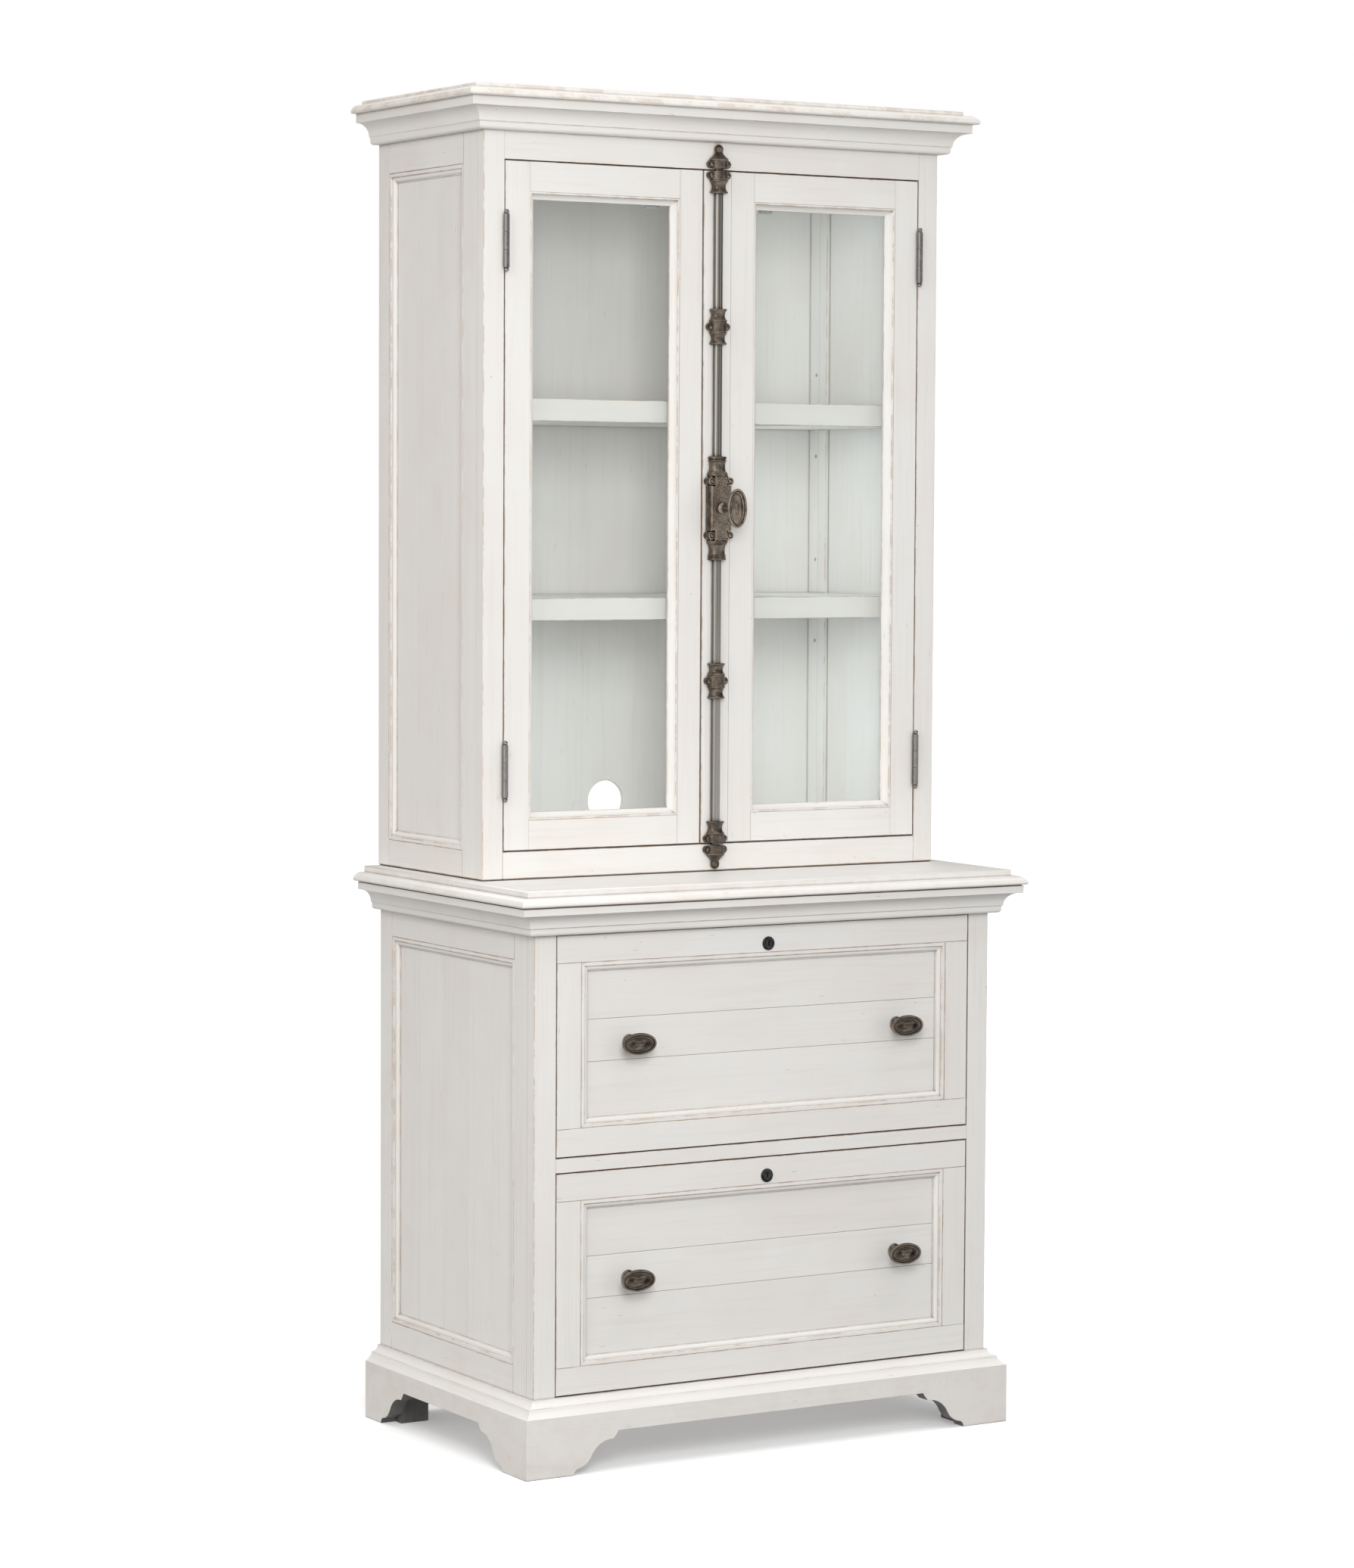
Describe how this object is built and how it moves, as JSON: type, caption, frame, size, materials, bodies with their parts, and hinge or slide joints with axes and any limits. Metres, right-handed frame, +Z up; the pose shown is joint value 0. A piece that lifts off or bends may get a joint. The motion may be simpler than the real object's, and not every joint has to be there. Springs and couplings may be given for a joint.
{
  "type": "hutch bookcase with file drawers",
  "caption": "Tall painted bookcase: glazed hutch with double doors and a cremone bolt, on a two-drawer file base with bracket feet.",
  "frame": {"origin": "on the floor, under the middle of the object's overall width and depth", "axes": "+Z up, -Y towards the front with the doors and drawers, +X to the right seen from the front"},
  "size_m": [0.876, 0.529, 1.981],
  "materials": {
    "painted_wood": "worn off-white paint, satin, with tan rub-through on the edges",
    "bare_wood": "clear-sealed softwood",
    "clear_glass": "clear flat glass",
    "antique_bronze": "dark antique bronze, rubbed highlights",
    "gunmetal_rod": "drawn gunmetal, semi-polished",
    "hinge_metal": "antique pewter",
    "lock_metal": "blackened steel",
    "zinc_steel": "bright zinc plate",
    "catch_plastic": "dark moulded plastic"
  },
  "bodies": {
    "cabinet": {"plinth_boards": "painted_wood", "plinth_moulding": "painted_wood", "corner_blocks": "bare_wood", "base_side_frames": "painted_wood", "hutch_side_frames": "painted_wood", "side_panels": "painted_wood", "side_mouldings": "painted_wood", "base_face_frame": "painted_wood", "base_bottom": "painted_wood", "base_back": "painted_wood", "slide_spacers": "bare_wood", "slide_outers": "zinc_steel", "base_cove_moulding": "painted_wood", "base_top": "painted_wood", "hutch_face_frame": "painted_wood", "hutch_floor_and_ceiling": "painted_wood", "hutch_back": "painted_wood", "cornice_moulding": "painted_wood", "cornice_top": "painted_wood", "lower_shelf": "painted_wood", "upper_shelf": "painted_wood", "shelf_pins": "zinc_steel", "hinge_cabinet_leaves": "hinge_metal", "door_catches": "catch_plastic", "bolt_keepers": "antique_bronze"},
    "left_door": {"left_door_frame": "painted_wood", "left_glazing_beads": "painted_wood", "left_glass": "clear_glass", "left_hinge_leaves": "hinge_metal", "left_catch_plate": "zinc_steel"},
    "right_door": {"right_door_frame": "painted_wood", "right_glazing_beads": "painted_wood", "right_glass": "clear_glass", "right_hinge_leaves": "hinge_metal", "right_catch_plate": "zinc_steel", "astragal": "painted_wood", "bolt_guides": "antique_bronze", "bolt_case": "antique_bronze"},
    "bolt_handle": {"bolt_knob": "antique_bronze", "bolt_pinion": "gunmetal_rod"},
    "upper_bolt_rod": {"upper_rod": "gunmetal_rod"},
    "lower_bolt_rod": {"lower_rod": "gunmetal_rod"},
    "upper_drawer": {"upper_drawer_frame": "painted_wood", "upper_drawer_panel": "painted_wood", "upper_drawer_moulding": "painted_wood", "upper_drawer_box": "bare_wood", "upper_drawer_knobs": "antique_bronze", "upper_lock_case": "lock_metal", "upper_drawer_steel": "zinc_steel"},
    "upper_slide_carriage": {"upper_slide_middles": "zinc_steel"},
    "upper_lock": {"upper_lock_plug": "lock_metal"},
    "lower_drawer": {"lower_drawer_frame": "painted_wood", "lower_drawer_panel": "painted_wood", "lower_drawer_moulding": "painted_wood", "lower_drawer_box": "bare_wood", "lower_drawer_knobs": "antique_bronze", "lower_lock_case": "lock_metal", "lower_drawer_steel": "zinc_steel"},
    "lower_slide_carriage": {"lower_slide_middles": "zinc_steel"},
    "lower_lock": {"lower_lock_plug": "lock_metal"}
  },
  "joints": [
    {"name": "left_door_hinge", "type": "hinge", "parent": "cabinet", "child": "left_door", "pos_m": [-0.35675, -0.0725, 1.3785], "axis": [0, 0, -1], "range_deg": [0, 110]},
    {"name": "right_door_hinge", "type": "hinge", "parent": "cabinet", "child": "right_door", "pos_m": [0.35675, -0.0725, 1.3785], "axis": [0, 0, 1], "range_deg": [0, 110]},
    {"name": "bolt_handle_turn", "type": "hinge", "parent": "right_door", "child": "bolt_handle", "pos_m": [0, -0.0725, 1.3785], "axis": [0, 1, 0], "range_deg": [0, 90]},
    {"name": "upper_rod_slide", "type": "slide", "parent": "right_door", "child": "upper_bolt_rod", "axis": [0, 0, 1], "range_m": [0, 0.012]},
    {"name": "lower_rod_slide", "type": "slide", "parent": "right_door", "child": "lower_bolt_rod", "axis": [0, 0, -1], "range_m": [0, 0.012]},
    {"name": "upper_drawer_slide", "type": "slide", "parent": "cabinet", "child": "upper_drawer", "axis": [0, -1, 0], "range_m": [0, 0.4]},
    {"name": "upper_carriage_slide", "type": "slide", "parent": "cabinet", "child": "upper_slide_carriage", "axis": [0, -1, 0], "range_m": [0, 0.2]},
    {"name": "upper_lock_turn", "type": "hinge", "parent": "upper_drawer", "child": "upper_lock", "pos_m": [0, -0.221, 0.7449], "axis": [0, -1, 0], "range_deg": [0, 90]},
    {"name": "lower_drawer_slide", "type": "slide", "parent": "cabinet", "child": "lower_drawer", "axis": [0, -1, 0], "range_m": [0, 0.4]},
    {"name": "lower_carriage_slide", "type": "slide", "parent": "cabinet", "child": "lower_slide_carriage", "axis": [0, -1, 0], "range_m": [0, 0.2]},
    {"name": "lower_lock_turn", "type": "hinge", "parent": "lower_drawer", "child": "lower_lock", "pos_m": [0, -0.221, 0.4034], "axis": [0, -1, 0], "range_deg": [0, 90]}
  ],
  "couplings": [
    {"joint": "upper_rod_slide", "follows": "bolt_handle_turn", "m_per_rad": 0.0076394},
    {"joint": "lower_rod_slide", "follows": "bolt_handle_turn", "m_per_rad": 0.0076394},
    {"joint": "upper_carriage_slide", "follows": "upper_drawer_slide", "ratio": 0.5},
    {"joint": "lower_carriage_slide", "follows": "lower_drawer_slide", "ratio": 0.5}
  ]
}
